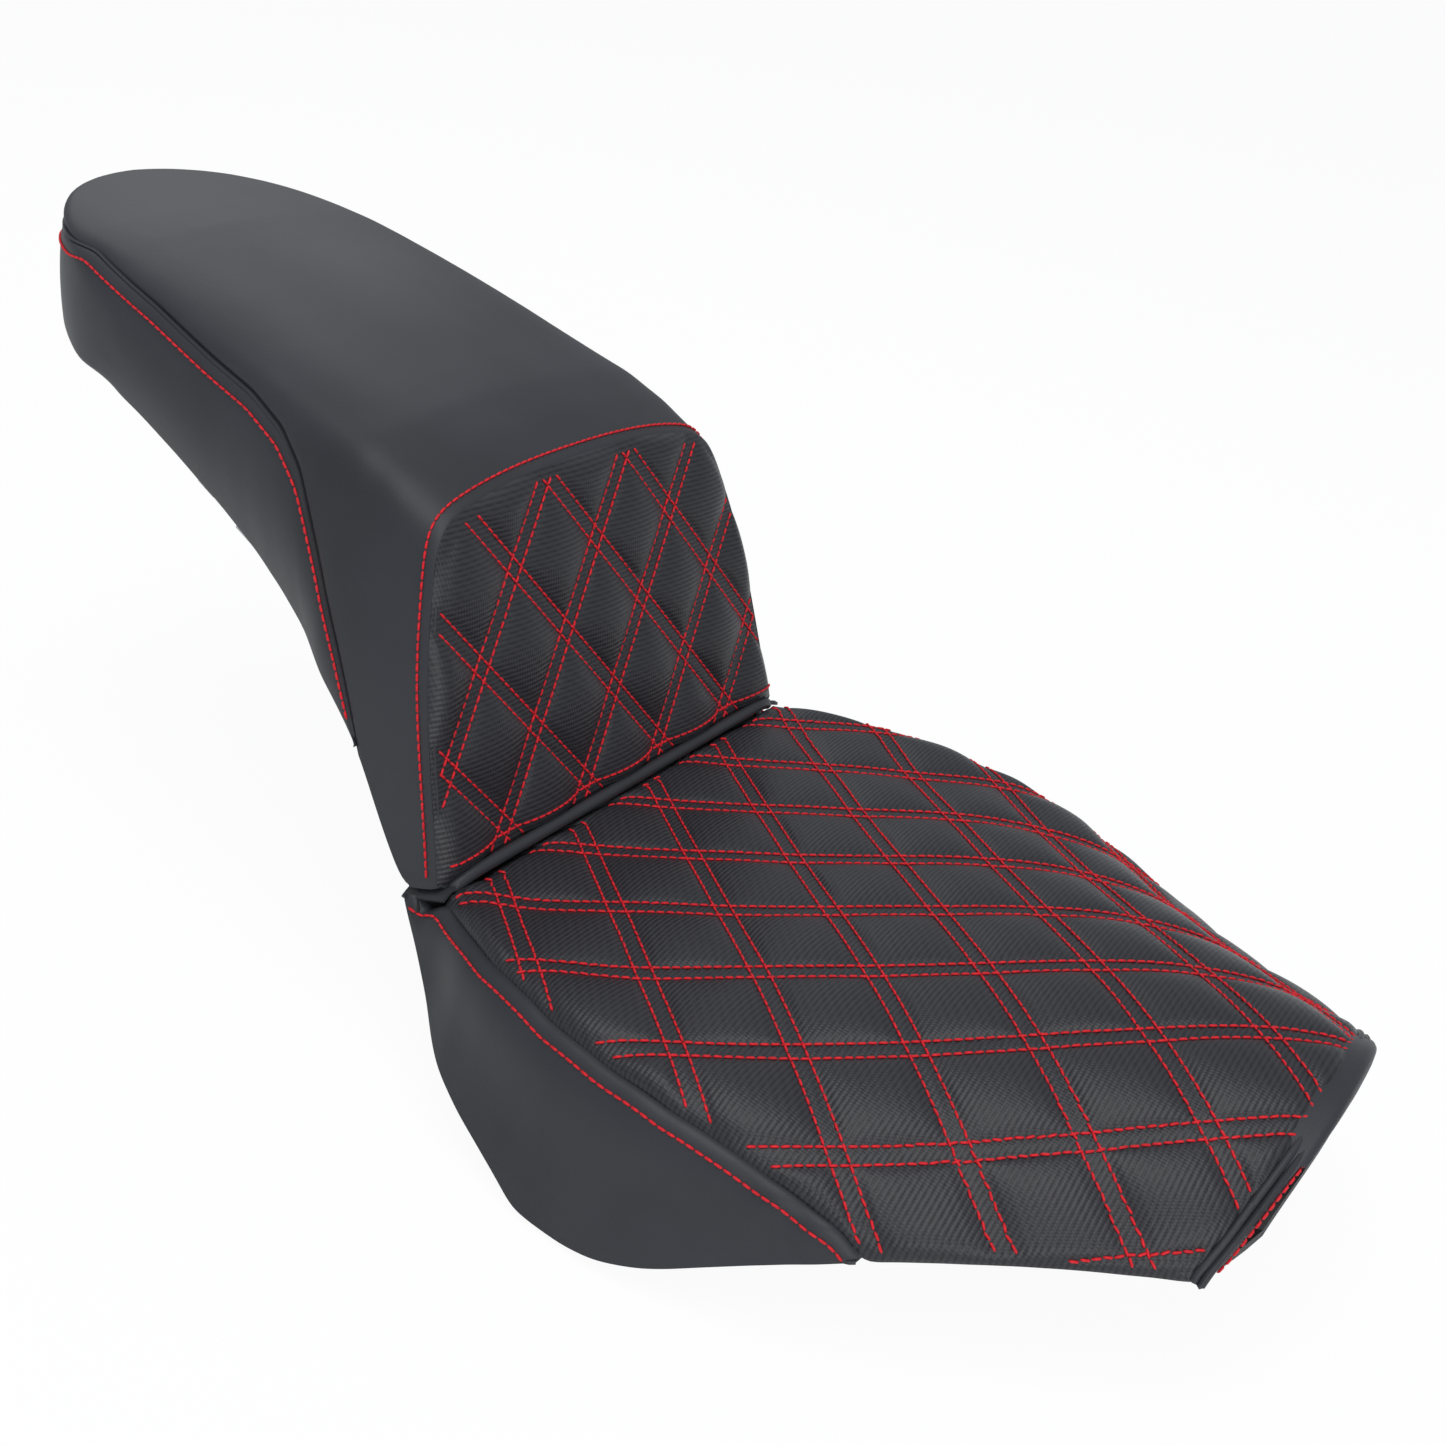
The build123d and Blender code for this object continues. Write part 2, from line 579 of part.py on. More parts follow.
def make_staples():
    """Wire staples through the hem into the rim, evenly spaced along each side."""
    inwards = PAN + RIM_WIDTH - HEM_WIDTH + STAPLE_INSET
    staples = []
    for edge in rim_edges(0):
        count = int(edge.length / STAPLE_PITCH)
        for i in range(count):
            place = edge @ ((i + 0.5) / count)
            way = edge % ((i + 0.5) / count)
            at_crease = -CREASE_CLEAR < place.X < CREASE_CLEAR
            if at_crease or not TAIL_X + TAIL_ROUND_LENGTH / 2 < place.X < NOSE_SEAM_X - STAPLE_CROWN:
                continue
            tilt = -math.degrees(math.atan2(way.Z, way.X))
            crown = Pos(0, 0, -STAPLE_WIRE / 2) * Box(STAPLE_CROWN, STAPLE_WIRE, STAPLE_WIRE)
            for end in (1, -1):
                leg_x = end * (STAPLE_CROWN - STAPLE_WIRE) / 2
                crown = crown + Pos(leg_x, 0, STAPLE_LEG / 2) * Box(STAPLE_WIRE, STAPLE_WIRE, STAPLE_LEG)
            for sign in (1, -1):
                y = sign * (hollow_half_width(place.X) + inwards)
                staples.append(Pos(place.X, y, place.Z) * Rot(0, tilt, 0) * crown)
    save("cover_staples", *staples)


os.makedirs("parts", exist_ok=True)
make_covers()
make_welts()
make_foams()
make_pan()
make_brackets()
make_bumpers()
make_staples()
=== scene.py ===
"""Motorcycle seat: quilted saddle and backrest, smooth passenger seat, red stitching."""

import math

import bpy
import numpy as np
from mathutils import Euler, Matrix, Vector
from mathutils.bvhtree import BVHTree


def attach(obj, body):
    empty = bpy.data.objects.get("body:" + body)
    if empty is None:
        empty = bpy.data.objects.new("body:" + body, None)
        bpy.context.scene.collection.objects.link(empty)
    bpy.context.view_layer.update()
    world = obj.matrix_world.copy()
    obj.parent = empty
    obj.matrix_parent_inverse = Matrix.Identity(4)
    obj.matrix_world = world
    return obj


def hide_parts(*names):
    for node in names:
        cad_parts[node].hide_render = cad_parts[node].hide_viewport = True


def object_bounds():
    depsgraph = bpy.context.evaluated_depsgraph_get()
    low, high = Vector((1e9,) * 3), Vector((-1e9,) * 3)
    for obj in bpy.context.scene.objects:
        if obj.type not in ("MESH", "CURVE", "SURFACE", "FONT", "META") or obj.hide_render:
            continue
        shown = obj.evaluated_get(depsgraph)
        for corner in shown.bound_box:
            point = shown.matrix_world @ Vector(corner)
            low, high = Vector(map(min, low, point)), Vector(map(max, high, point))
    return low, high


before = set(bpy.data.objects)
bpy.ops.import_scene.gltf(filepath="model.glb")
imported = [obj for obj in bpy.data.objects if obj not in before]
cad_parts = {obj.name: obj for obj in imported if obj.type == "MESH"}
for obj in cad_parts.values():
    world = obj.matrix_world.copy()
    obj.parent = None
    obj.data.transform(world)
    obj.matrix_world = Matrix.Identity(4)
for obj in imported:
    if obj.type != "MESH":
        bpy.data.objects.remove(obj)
cad_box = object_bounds()

MM = 0.001
# The crease at the foot of the backrest, from the rear bolt hole
CREASE = (0.300, 0.0, -0.125)

# Stitched diamonds and threads, in millimetres
DIAMOND_LONG = 64.0
DIAMOND_WIDE = 51.0
BACKREST_LONG = 63.3
ROW_HALF_SPACING = 3.15
SADDLE_PUFF = 2.3
BACKREST_PUFF = 3.9
ROW_SINK = 0.45
STITCH_PITCH = 3.7
STITCH_LENGTH = 3.3
STITCH_RADIUS = 0.5
STITCH_LIFT = 0.42
STITCH_AIM = 0.8
EDGE_ROW = 6.5
SEAM_SINK = 1.6
SEAM_FALL = 1.7
COVER = 1.2
HEM = 15.0
BAND_BULGE = 2.2
# Level of the lowest full row of crossings on the backrest
BACKREST_ROW = 7.4
# Level of the single row above the crease
CREASE_ROW = 4.6

# Seam between the quilted saddle and its side panels, in plan
RIDER_SEAM = [(0, 115), (14, 116), (50, 132), (85, 142), (112, 145.5), (140, 146), (165, 144),
              (190, 141), (212, 138.6), (222, 165)]
# Seam between the passenger's top and side band, in side view
PASSENGER_SEAM = [(-320, 172), (-261, 175), (-223, 173.5), (-180, 162), (-145, 150.5),
                  (-123, 144.5), (-104, 136), (-90, 123.5), (-81, 108), (-69, 88), (-58, 70),
                  (-43.5, 44), (-35, 15), (-32, -30)]
LEAN = math.radians(15.7)
CREASE_SLOPE = math.radians(20)
BACKREST_FOOT = 11.0
# Rounded plan of the nose: its centre and radius, how far back its seam lies, where it starts
NOSE_CENTRE = 60.0
NOSE_RADIUS = 260.0
NOSE_SEAM_BACK = 2.6
NOSE_START = 302.0
INNER_EDGE = 311.0
TAIL_AXIS = -200.0

# Shape of the quilting: how steeply it rises from a row, how full its crown is, and the
# width of the groove that a row pulls in
QUILT_RISE = 2.3
QUILT_CROWN = 0.75
GROOVE_WIDTH = 1.0
# Towards a seam the quilting fades over this distance, and rows stop this far short of it
EDGE_FADE = 7.0
FADE_POWER = 0.7
ROW_CLEAR = 3.0
ROW_STEP = 1.2

# Points along sections and across panels
RIDER_POINTS = 260
PASSENGER_POINTS = 240
SADDLE_COLUMNS = 136
SIDE_COLUMNS = 70
TOP_COLUMNS = 110
BAND_COLUMNS = 60
HEM_POINTS = 6
EASING = 7
SEAM_EASING = 3
NO_PANEL = 0.015

# Sections of the saddle run from behind the crease to just behind the nose
SADDLE_START = -3.5
SADDLE_END = 318.8
CREASE_X = 14.0
CREASE_HALF = 119.0
BACKREST_MIDDLE = 62.0
OUTLINE_POINTS = 360

# Rays: reach in metres, distance from which a wall is looked for and step between levels in
# millimetres, and lift of a section's centre over the rim
RAY_REACH = 0.6
WALL_REACH = 0.399
WALL_DISTANCE = 400
LEVEL_STEP = 0.5
OVER_RIM = 0.3

# Camera in front of the seat, on its right and above it: metres, and turns in degrees
CAMERA_LENS = 43.95
CAMERA_SENSOR = 36.0
CAMERA_PLACE = (0.66432, -0.54029, 0.24162)
CAMERA_TURN = (62.2458, -7.5892, 33.8638)

# Lamps: place, aim and size in metres, power in watts
LAMPS = {
    "key": ((0.5, -0.5, 2.0), (0.25, 0, -0.05), 1.6, 27),
    "side": ((1.9, -1.3, 0.7), (0.3, 0, -0.05), 1.2, 16),
    "rim": ((-1.2, 1.2, 1.3), (0.2, 0, 0), 1.2, 5),
}
WORLD_GLOW = 0.45
FLOOR_SIZE = 80
FLOOR_DROP = 0.001
FLOOR_WHITE = 0.94

# Fold of the nose strip: distance ahead of the rounded front, lift off the saddle, and
# share of the way in to the edge of the hollow
NOSE_STAGES = [(-NOSE_SEAM_BACK, 0.0, 0.0), (-2.0, 1.3, 0.0), (-1.1, 1.7, 0.0), (-0.3, 1.2, 0.0),
               (0.3, 0.2, 0.0), (0.5, 0.0, 0.18), (0.6, 0.0, 0.42), (0.4, 0.0, 0.7),
               (-0.1, 0.0, 0.92), (-1.2, 0.0, 1.0), (-4.0, 0.0, 1.0), (-9.0, 0.0, 1.0)]
NOSE_ROW = (0.7, 0.0, 0.22)

# Rolled welts, and the gussets that close the ends of the crease
WELT_SIDES = 14
NOSE_WELT_LIFT = 0.9
NOSE_WELT_RADIUS = 1.4
CREASE_WELT_LEVEL = -1.1
CREASE_WELT_OUT = 2.9
CREASE_WELT_RADIUS = 2.6
CREASE_WELT_HALF = 112.0
CREASE_WELT_DIP = 4.6
CREASE_WELT_DIP_LENGTH = 16
GUSSET_X = (-5.5, 14.5)
GUSSET_OUTER_Y = 117.4
GUSSET_WIDTH = 28.0


# ---------------------------------------------------------------- camera and light

def add_camera():
    """Camera that looks down on the seat from the front right."""
    data = bpy.data.cameras.new("camera")
    data.lens = CAMERA_LENS
    data.sensor_width = CAMERA_SENSOR
    camera = bpy.data.objects.new("camera", data)
    bpy.context.collection.objects.link(camera)
    turn = Euler([math.radians(a) for a in CAMERA_TURN]).to_matrix().to_4x4()
    camera.matrix_world = Matrix.Translation(CAMERA_PLACE) @ turn
    bpy.context.scene.camera = camera


def add_light(name, place, aim, size, power):
    data = bpy.data.lights.new(name, "AREA")
    data.size = size
    data.energy = power
    light = bpy.data.objects.new(name, data)
    light.location = place
    light.rotation_euler = (Vector(aim) - Vector(place)).to_track_quat("-Z", "Y").to_euler()
    bpy.context.collection.objects.link(light)


def add_studio():
    """Pale floor, white surroundings and soft lamps."""
    bpy.context.scene.view_settings.view_transform = "Standard"
    world = bpy.data.worlds.new("studio")
    bpy.context.scene.world = world
    world.use_nodes = True
    tree = world.node_tree
    tree.nodes.clear()
    path = tree.nodes.new("ShaderNodeLightPath")
    glow = tree.nodes.new("ShaderNodeBackground")
    glow.inputs["Color"].default_value = (0.9, 0.94, 1.0, 1)
    glow.inputs["Strength"].default_value = WORLD_GLOW
    white = tree.nodes.new("ShaderNodeBackground")
    white.inputs["Color"].default_value = (1, 1, 1, 1)
    mix = tree.nodes.new("ShaderNodeMixShader")
    out = tree.nodes.new("ShaderNodeOutputWorld")
    tree.links.new(path.outputs["Is Camera Ray"], mix.inputs[0])
    tree.links.new(glow.outputs[0], mix.inputs[1])
    tree.links.new(white.outputs[0], mix.inputs[2])
    tree.links.new(mix.outputs[0], out.inputs[0])

    low = cad_box[0][2] - FLOOR_DROP
    bpy.ops.mesh.primitive_plane_add(size=FLOOR_SIZE, location=(0, 0, low))
    floor = bpy.context.object
    floor.name = "floor"
    material = bpy.data.materials.new("floor_paper")
    material.use_nodes = True
    tree = material.node_tree
    paper = tree.nodes["Principled BSDF"]
    paper.inputs["Base Color"].default_value = (0.9, 0.9, 0.9, 1)
    paper.inputs["Roughness"].default_value = 0.9
    path = tree.nodes.new("ShaderNodeLightPath")
    glow = tree.nodes.new("ShaderNodeEmission")
    glow.inputs["Color"].default_value = (1, 1, 1, 1)
    mix = tree.nodes.new("ShaderNodeMixShader")
    share = tree.nodes.new("ShaderNodeMath")
    share.operation = "MULTIPLY"
    share.inputs[1].default_value = FLOOR_WHITE
    tree.links.new(path.outputs["Is Camera Ray"], share.inputs[0])
    tree.links.new(share.outputs[0], mix.inputs[0])
    tree.links.new(paper.outputs[0], mix.inputs[1])
    tree.links.new(glow.outputs[0], mix.inputs[2])
    tree.links.new(mix.outputs[0], tree.nodes["Material Output"].inputs[0])
    floor.data.materials.append(material)

    for name, (place, aim, size, power) in LAMPS.items():
        add_light(name, place, aim, size, power)


# ---------------------------------------------------------------- materials

def new_material(name, colour, roughness, specular=0.5):
    material = bpy.data.materials.new(name)
    material.use_nodes = True
    shader = material.node_tree.nodes["Principled BSDF"]
    shader.inputs["Base Color"].default_value = (*colour, 1)
    shader.inputs["Roughness"].default_value = roughness
    shader.inputs["Specular IOR Level"].default_value = specular
    return material, material.node_tree, shader


def place_on(tree, source):
    """Place on the piece, from its own Object or UV coordinates."""
    return tree.nodes.new("ShaderNodeTexCoord").outputs[source]


def noise(tree, vector, scale):
    node = tree.nodes.new("ShaderNodeTexNoise")
    node.inputs["Scale"].default_value = scale
    node.inputs["Detail"].default_value = 3.0
    tree.links.new(vector, node.inputs["Vector"])
    return node.outputs["Fac"]


def vary_colour(tree, shader, factor, dark, light, low=0.3, high=0.7):
    ramp = tree.nodes.new("ShaderNodeValToRGB")
    ramp.color_ramp.elements[0].position = low
    ramp.color_ramp.elements[0].color = (*dark, 1)
    ramp.color_ramp.elements[1].position = high
    ramp.color_ramp.elements[1].color = (*light, 1)
    tree.links.new(factor, ramp.inputs["Fac"])
    tree.links.new(ramp.outputs["Color"], shader.inputs["Base Color"])


def bump(tree, shader, height, strength, distance):
    node = tree.nodes.new("ShaderNodeBump")
    node.inputs["Strength"].default_value = strength
    node.inputs["Distance"].default_value = distance
    tree.links.new(height, node.inputs["Height"])
    tree.links.new(node.outputs["Normal"], shader.inputs["Normal"])


def math_node(tree, operation, first, second):
    node = tree.nodes.new("ShaderNodeMath")
    node.operation = operation
    for socket, value in zip(node.inputs, (first, second)):
        if isinstance(value, (int, float)):
            socket.default_value = value
        else:
            tree.links.new(value, socket)
    return node.outputs[0]


def smooth_vinyl():
    """Satin vinyl with a fine leather grain."""
    material, tree, shader = new_material("smooth_vinyl_satin", (0.03, 0.031, 0.036), 0.44, 0.24)
    place = place_on(tree, "Object")
    cells = tree.nodes.new("ShaderNodeTexVoronoi")
    cells.inputs["Scale"].default_value = 950.0
    tree.links.new(place, cells.inputs["Vector"])
    grain = math_node(tree, "ADD", cells.outputs["Distance"], noise(tree, place, 1800.0))
    bump(tree, shader, grain, 0.12, 0.0002)
    vary_colour(tree, shader, noise(tree, place, 14.0), (0.026, 0.027, 0.031), (0.034, 0.036, 0.042))
    return material


def waves(tree, place, direction, scale):
    node = tree.nodes.new("ShaderNodeTexWave")
    node.bands_direction = direction
    node.inputs["Scale"].default_value = scale
    tree.links.new(place, node.inputs["Vector"])
    return node


def carbon_vinyl():
    """Vinyl pressed with a fine twill, read along the panel's own surface."""
    material, tree, shader = new_material("twill_vinyl", (0.022, 0.022, 0.026), 0.38, 0.28)
    place = place_on(tree, "UV")
    ribs = waves(tree, place, "X", 165.0)
    ribs.inputs["Distortion"].default_value = 0.35
    ribs.inputs["Detail"].default_value = 1.0
    weave = ribs.outputs["Fac"]
    for direction, scale in (("Y", 260.0), ("DIAGONAL", 120.0)):
        threads = waves(tree, place, direction, scale)
        weave = math_node(tree, "ADD", weave, math_node(tree, "MULTIPLY", threads.outputs["Fac"], 0.3))
    bump(tree, shader, weave, 0.4, 0.0003)
    vary_colour(tree, shader, weave, (0.015, 0.015, 0.018), (0.030, 0.030, 0.035), 0.2, 1.3)
    return material


def thread():
    """Twisted red thread."""
    material, tree, shader = new_material("red_thread", (0.60, 0.012, 0.02), 0.6, 0.25)
    place = place_on(tree, "Object")
    vary_colour(tree, shader, noise(tree, place, 900.0), (0.46, 0.008, 0.015), (0.70, 0.016, 0.026))
    bump(tree, shader, noise(tree, place, 3500.0), 0.4, 0.0001)
    return material


def plain_grained(name, dark, light, roughness, grain, strength, metallic=0.0):
    """Moulded plastic, rubber or metal with its own grain."""
    material, tree, shader = new_material(name, light, roughness)
    shader.inputs["Metallic"].default_value = metallic
    place = place_on(tree, "Object")
    vary_colour(tree, shader, noise(tree, place, grain / 12), dark, light)
    bump(tree, shader, noise(tree, place, grain), strength, 0.0003)
    return material


# ---------------------------------------------------------------- surfaces read from the frame

def tree_of(*nodes):
    """One search tree of several CAD nodes."""
    points, faces = [], []
    for node in nodes:
        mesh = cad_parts[node].data
        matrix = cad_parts[node].matrix_world
        start = len(points)
        points += [matrix @ v.co for v in mesh.vertices]
        faces += [[start + i for i in p.vertices] for p in mesh.polygons]
    return BVHTree.FromPolygons(points, faces)


def to_frame(p):
    """Point in millimetres from the crease to metres from the bolt hole."""
    return Vector(p) * MM + Vector(CREASE)


def first_hit(search, centre, outward):
    """Outermost point of the surface on a line out of centre, in millimetres from the crease."""
    far = to_frame(centre) + Vector(outward) * RAY_REACH
    hit = search.ray_cast(far, -Vector(outward), RAY_REACH)[0]
    return None if hit is None else np.array((hit - Vector(CREASE)) / MM)


def wall_foot(search, centre_xy, outward, low, high):
    """Lowest level at which the wall is met from outside."""
    z = low
    while z < high:
        start = np.array((centre_xy[0], centre_xy[1], z)) + np.array(outward) * WALL_DISTANCE
        if search.ray_cast(to_frame(start), -Vector(outward), WALL_REACH)[0] is not None:
            return z
        z += LEVEL_STEP
    return high


def resample(points, count):
    """Same line with count evenly spaced points."""
    points = np.array(points)
    steps = np.linalg.norm(np.diff(points, axis=0), axis=1)
    along = np.concatenate([[0], np.cumsum(steps)])
    wanted = np.linspace(0, along[-1], count)
    return np.stack([np.interp(wanted, along, points[:, k]) for k in range(3)], axis=1)


def profile(search, centre, outward, up, top_angle=90.0, rays=150):
    """Line on the surface from the rim up to top_angle, in one plane out of centre."""
    line = []
    for degrees in np.linspace(0.0, top_angle, rays):
        a = math.radians(degrees)
        hit = first_hit(search, centre, np.array(outward) * math.cos(a) + np.array(up) * math.sin(a))
        if hit is not None:
            line.append(hit)
    return line


def smoothed(grid):
    """Grid of lines, each eased towards its neighbours so that no facet shows."""
    grid = grid.copy()
    for _ in range(EASING):
        middle = (grid[:-2] + 2 * grid[1:-1] + grid[2:]) / 4
        grid[1:-1] = middle
        across = (grid[:, :-2] + 2 * grid[:, 1:-1] + grid[:, 2:]) / 4
        grid[:, 1:-1] = across
    return grid


def normals_of(grid):
    """Unit normals of a grid of points."""
    along = np.gradient(grid, axis=0)
    across = np.gradient(grid, axis=1)
    n = np.cross(along, across)
    size = np.linalg.norm(n, axis=2, keepdims=True)
    return n / np.maximum(size, 1e-9)


def mirror_y(points):
    flipped = points.copy()
    flipped[..., 1] *= -1
    return flipped


def grid_object(name, grid, material, uv=None, thickness=COVER):
    """Sheet of points in millimetres from the crease, made from a grid and given its thickness."""
    rows, columns = grid.shape[:2]
    bpy.ops.object.select_all(action="DESELECT")
    bpy.ops.mesh.primitive_grid_add(x_subdivisions=columns - 1, y_subdivisions=rows - 1, size=1)
    piece = bpy.context.object
    piece.name = name
    piece.data.name = name
    mesh = piece.data
    assert len(mesh.vertices) == rows * columns
    points = grid.reshape(-1, 3) * MM + np.array(CREASE)
    mesh.vertices.foreach_set("co", points.ravel())
    if uv is not None:
        corner = np.empty(len(mesh.loops), dtype=np.int32)
        mesh.loops.foreach_get("vertex_index", corner)
        mesh.uv_layers[0].data.foreach_set("uv", (uv.reshape(-1, 2)[corner] * MM).ravel())
    mesh.update()
    bpy.ops.object.mode_set(mode="EDIT")
    bpy.ops.mesh.select_all(action="SELECT")
    bpy.ops.mesh.remove_doubles(threshold=0.00001)
    bpy.ops.mesh.dissolve_degenerate(threshold=0.000005)
    bpy.ops.object.mode_set(mode="OBJECT")
    middle = np.array(CREASE) + np.array((0, 0, -0.03))
    outward = sum((Vector(f.center) - Vector(middle)).dot(f.normal) * f.area for f in mesh.polygons)
    if outward < 0:
        bpy.ops.object.mode_set(mode="EDIT")
        bpy.ops.mesh.select_all(action="SELECT")
        bpy.ops.mesh.flip_normals()
        bpy.ops.object.mode_set(mode="OBJECT")
    if thickness:
        solid = piece.modifiers.new("thickness", "SOLIDIFY")
        solid.thickness = thickness * MM
        solid.offset = -1
        bpy.ops.object.modifier_apply(modifier="thickness")
    bpy.ops.object.shade_smooth_by_angle(angle=math.radians(50))
    mesh.materials.append(material)
    return piece


def quilt_height(p, q, per_mm, puff):
    """Height of the quilting where p and q count half diamonds along and across."""
    height = np.ones_like(p)
    sink = np.zeros_like(p)
    reach = 0.5 / per_mm - ROW_HALF_SPACING
    for line in ((p + q - 1) / 2, (p - q - 1) / 2):
        from_row = np.abs(line - np.round(line)) / per_mm - ROW_HALF_SPACING
        height = height * (1 - (1 - np.clip(from_row / reach, 0, 1)) ** QUILT_RISE)
        sink = np.maximum(sink, np.exp(-((from_row / GROOVE_WIDTH) ** 2)))
    return puff * height**QUILT_CROWN - ROW_SINK * sink


def edge_fade(distance):
    """Share of the quilting's height that is left near a sewn edge."""
    return np.clip(distance / EDGE_FADE, 0, 1) ** FADE_POWER


def seam_fall(distance):
    """How far a panel's surface drops towards its sewn edge."""
    return SEAM_SINK * np.exp(-np.maximum(distance, 0) / SEAM_FALL)


def stitch_shape():
    """One stitch along +X: a low capsule of a few faces, from a cylinder."""
    bpy.ops.object.select_all(action="DESELECT")
    bpy.ops.mesh.primitive_cylinder_add(vertices=6, radius=STITCH_RADIUS, depth=STITCH_LENGTH * 0.6,
                                        rotation=(0, math.pi / 2, 0))
    stitch = bpy.context.object
    bpy.ops.object.transform_apply(location=True, rotation=True, scale=True)
    for sign in (1, -1):
        bpy.ops.object.mode_set(mode="EDIT")
        bpy.ops.mesh.select_all(action="DESELECT")
        bpy.ops.object.mode_set(mode="OBJECT")
        for face in stitch.data.polygons:
            face.select = face.normal.x * sign > 0.9
        bpy.ops.object.mode_set(mode="EDIT")
        reach = (sign * STITCH_LENGTH * 0.2, 0, -0.25)
        bpy.ops.mesh.extrude_region_move(TRANSFORM_OT_translate={"value": reach})
        bpy.ops.transform.resize(value=(1, 0.45, 0.45))
        bpy.ops.object.mode_set(mode="OBJECT")
    points = np.array([v.co[:] for v in stitch.data.vertices])
    faces = [list(f.vertices) for f in stitch.data.polygons]
    bpy.data.objects.remove(stitch)
    return points, faces


def sew(name, rows, material, shape):
    """Stitches along rows of (point, normal), both in millimetres from the crease."""
    points, faces = [], []
    template, template_faces = shape
    for line, normals in rows:
        if len(line) < 2:
            continue
        steps = np.linalg.norm(np.diff(line, axis=0), axis=1)
        along = np.concatenate([[0], np.cumsum(steps)])
        count = int(along[-1] / STITCH_PITCH)
        for i in range(count):
            s = (i + 0.5) * along[-1] / count
            place = np.array([np.interp(s, along, line[:, k]) for k in range(3)])
            ahead = np.array([np.interp(s + STITCH_AIM, along, line[:, k])
                              - np.interp(s - STITCH_AIM, along, line[:, k]) for k in range(3)])
            up = np.array([np.interp(s, along, normals[:, k]) for k in range(3)])
            size = np.linalg.norm(ahead)
            if size < 1e-6:
                continue
            ahead /= size
            up -= ahead * up.dot(ahead)
            up /= max(np.linalg.norm(up), 1e-9)
            side = np.cross(up, ahead)
            start = len(points)
            points += list(place + up * STITCH_LIFT + template @ np.array([ahead, side, up]))
            faces += [[start + k for k in f] for f in template_faces]
    mesh = bpy.data.meshes.new(name)
    mesh.from_pydata([tuple(np.array(p) * MM + np.array(CREASE)) for p in points], [], faces)
    mesh.materials.append(material)
    piece = bpy.data.objects.new(name, mesh)
    bpy.context.collection.objects.link(piece)
    bpy.ops.object.select_all(action="DESELECT")
    piece.select_set(True)
    bpy.context.view_layer.objects.active = piece
    bpy.ops.object.shade_smooth()
    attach(piece, "root")


class Sheet:
    """Structured surface: rows of stations, columns along each section, in millimetres."""

    def __init__(self, grid):
        self.grid = grid
        self.normals = normals_of(grid)
        steps = np.linalg.norm(np.diff(grid, axis=1), axis=2)
        self.across = np.concatenate([np.zeros((len(grid), 1)), np.cumsum(steps, axis=1)], axis=1)

    def flip_to(self, outward):
        if (self.normals * outward).sum() < 0:
            self.normals *= -1

    def raised(self, height):
        return self.grid + self.normals * height[..., None]


def at(grid, row, column):
    """Bilinear read of a grid of points or values at fractional places."""
    row = np.clip(row, 0, grid.shape[0] - 1.001)
    column = np.clip(column, 0, grid.shape[1] - 1.001)
    r, c = row.astype(int), column.astype(int)
    fr, fc = (row - r)[:, None], (column - c)[:, None]
    return ((grid[r, c] * (1 - fr) + grid[r + 1, c] * fr) * (1 - fc)
            + (grid[r, c + 1] * (1 - fr) + grid[r + 1, c + 1] * fr) * fc)


def at_place(grid, row, column):
    """Bilinear read at a single place."""
    return at(grid, np.array([float(row)]), np.array([float(column)]))[0]


# ---------------------------------------------------------------- rider's saddle

def nose_front(y):
    """Front of the rounded nose at y."""
    return NOSE_CENTRE + np.sqrt(NOSE_RADIUS**2 - y**2)


def rider_profiles():
    """Right-hand sections of the saddle, rim to centre line, from the crease to the nose."""
    search = tree_of("rider_quilt_cover", "rider_side_cover_left", "rider_side_cover_right", "nose_cover")
    places = np.concatenate([np.linspace(SADDLE_START, BACKREST_FOOT, 8)[:-1],
                             np.linspace(BACKREST_FOOT, NOSE_START, 150),
                             np.linspace(NOSE_START, SADDLE_END, 18)[1:]])
    lines = []
    for x in places:
        base = wall_foot(search, (x, 0.0), (0, -1, 0), -90.0, 0.0)
        top = 90.0
        if x < BACKREST_FOOT:
            crease = -3.4 + math.tan(CREASE_SLOPE) * (x - CREASE_X)
            top = math.degrees(math.atan2(crease - base, CREASE_HALF))
        line = profile(search, (x, 0.0, base + OVER_RIM), (0, -1, 0), (0, 0, 1), top)
        lines.append(resample(line, RIDER_POINTS))
    lines = smoothed(np.array(lines))
    body = places <= NOSE_START
    return places[body], lines[body], lines[places >= NOSE_START]


def seam_split(line, value_at):
    """Share of each section's length, from the rim, at which it crosses the seam."""
    below = value_at(line)
    crossing = np.nonzero((below[:-1] < 0) & (below[1:] >= 0))[0]
    if below[0] >= 0 or len(crossing) == 0:
        return 0.0 if below[0] >= 0 else 1.0
    i = crossing[-1]
    t = -below[i] / (below[i + 1] - below[i])
    return (i + t) / (len(line) - 1)


def seam_shares(lines, value_at):
    """Place of the seam on every section, eased from each section to the next."""
    shares = np.array([seam_split(line, value_at) for line in lines])
    for _ in range(SEAM_EASING):
        shares[1:-1] = (shares[:-2] + 2 * shares[1:-1] + shares[2:]) / 4
    return shares


def sub_line(line, start, end, count):
    """Part of a section between two shares of it."""
    index = np.linspace(start, end, count) * (len(line) - 1)
    return np.stack([np.interp(index, np.arange(len(line)), line[:, k]) for k in range(3)], axis=1)


def inward_hem(line, amount):
    """Section whose lower edge is turned under towards the middle by amount."""
    rim = line[0]
    aim = np.array((TAIL_AXIS if rim[0] < TAIL_AXIS else rim[0], 0.0, rim[2])) - rim
    aim /= max(np.linalg.norm(aim), 1e-9)
    steps = np.linspace(1, 0, HEM_POINTS + 1)[:-1]
    drop = np.array((0, 0, -0.4)) * min(1.0, amount / 5)
    hem = [rim + aim * amount * s + drop * math.sin(math.pi * min(1, s * 3) / 2) for s in steps]
    return np.vstack([hem, line])


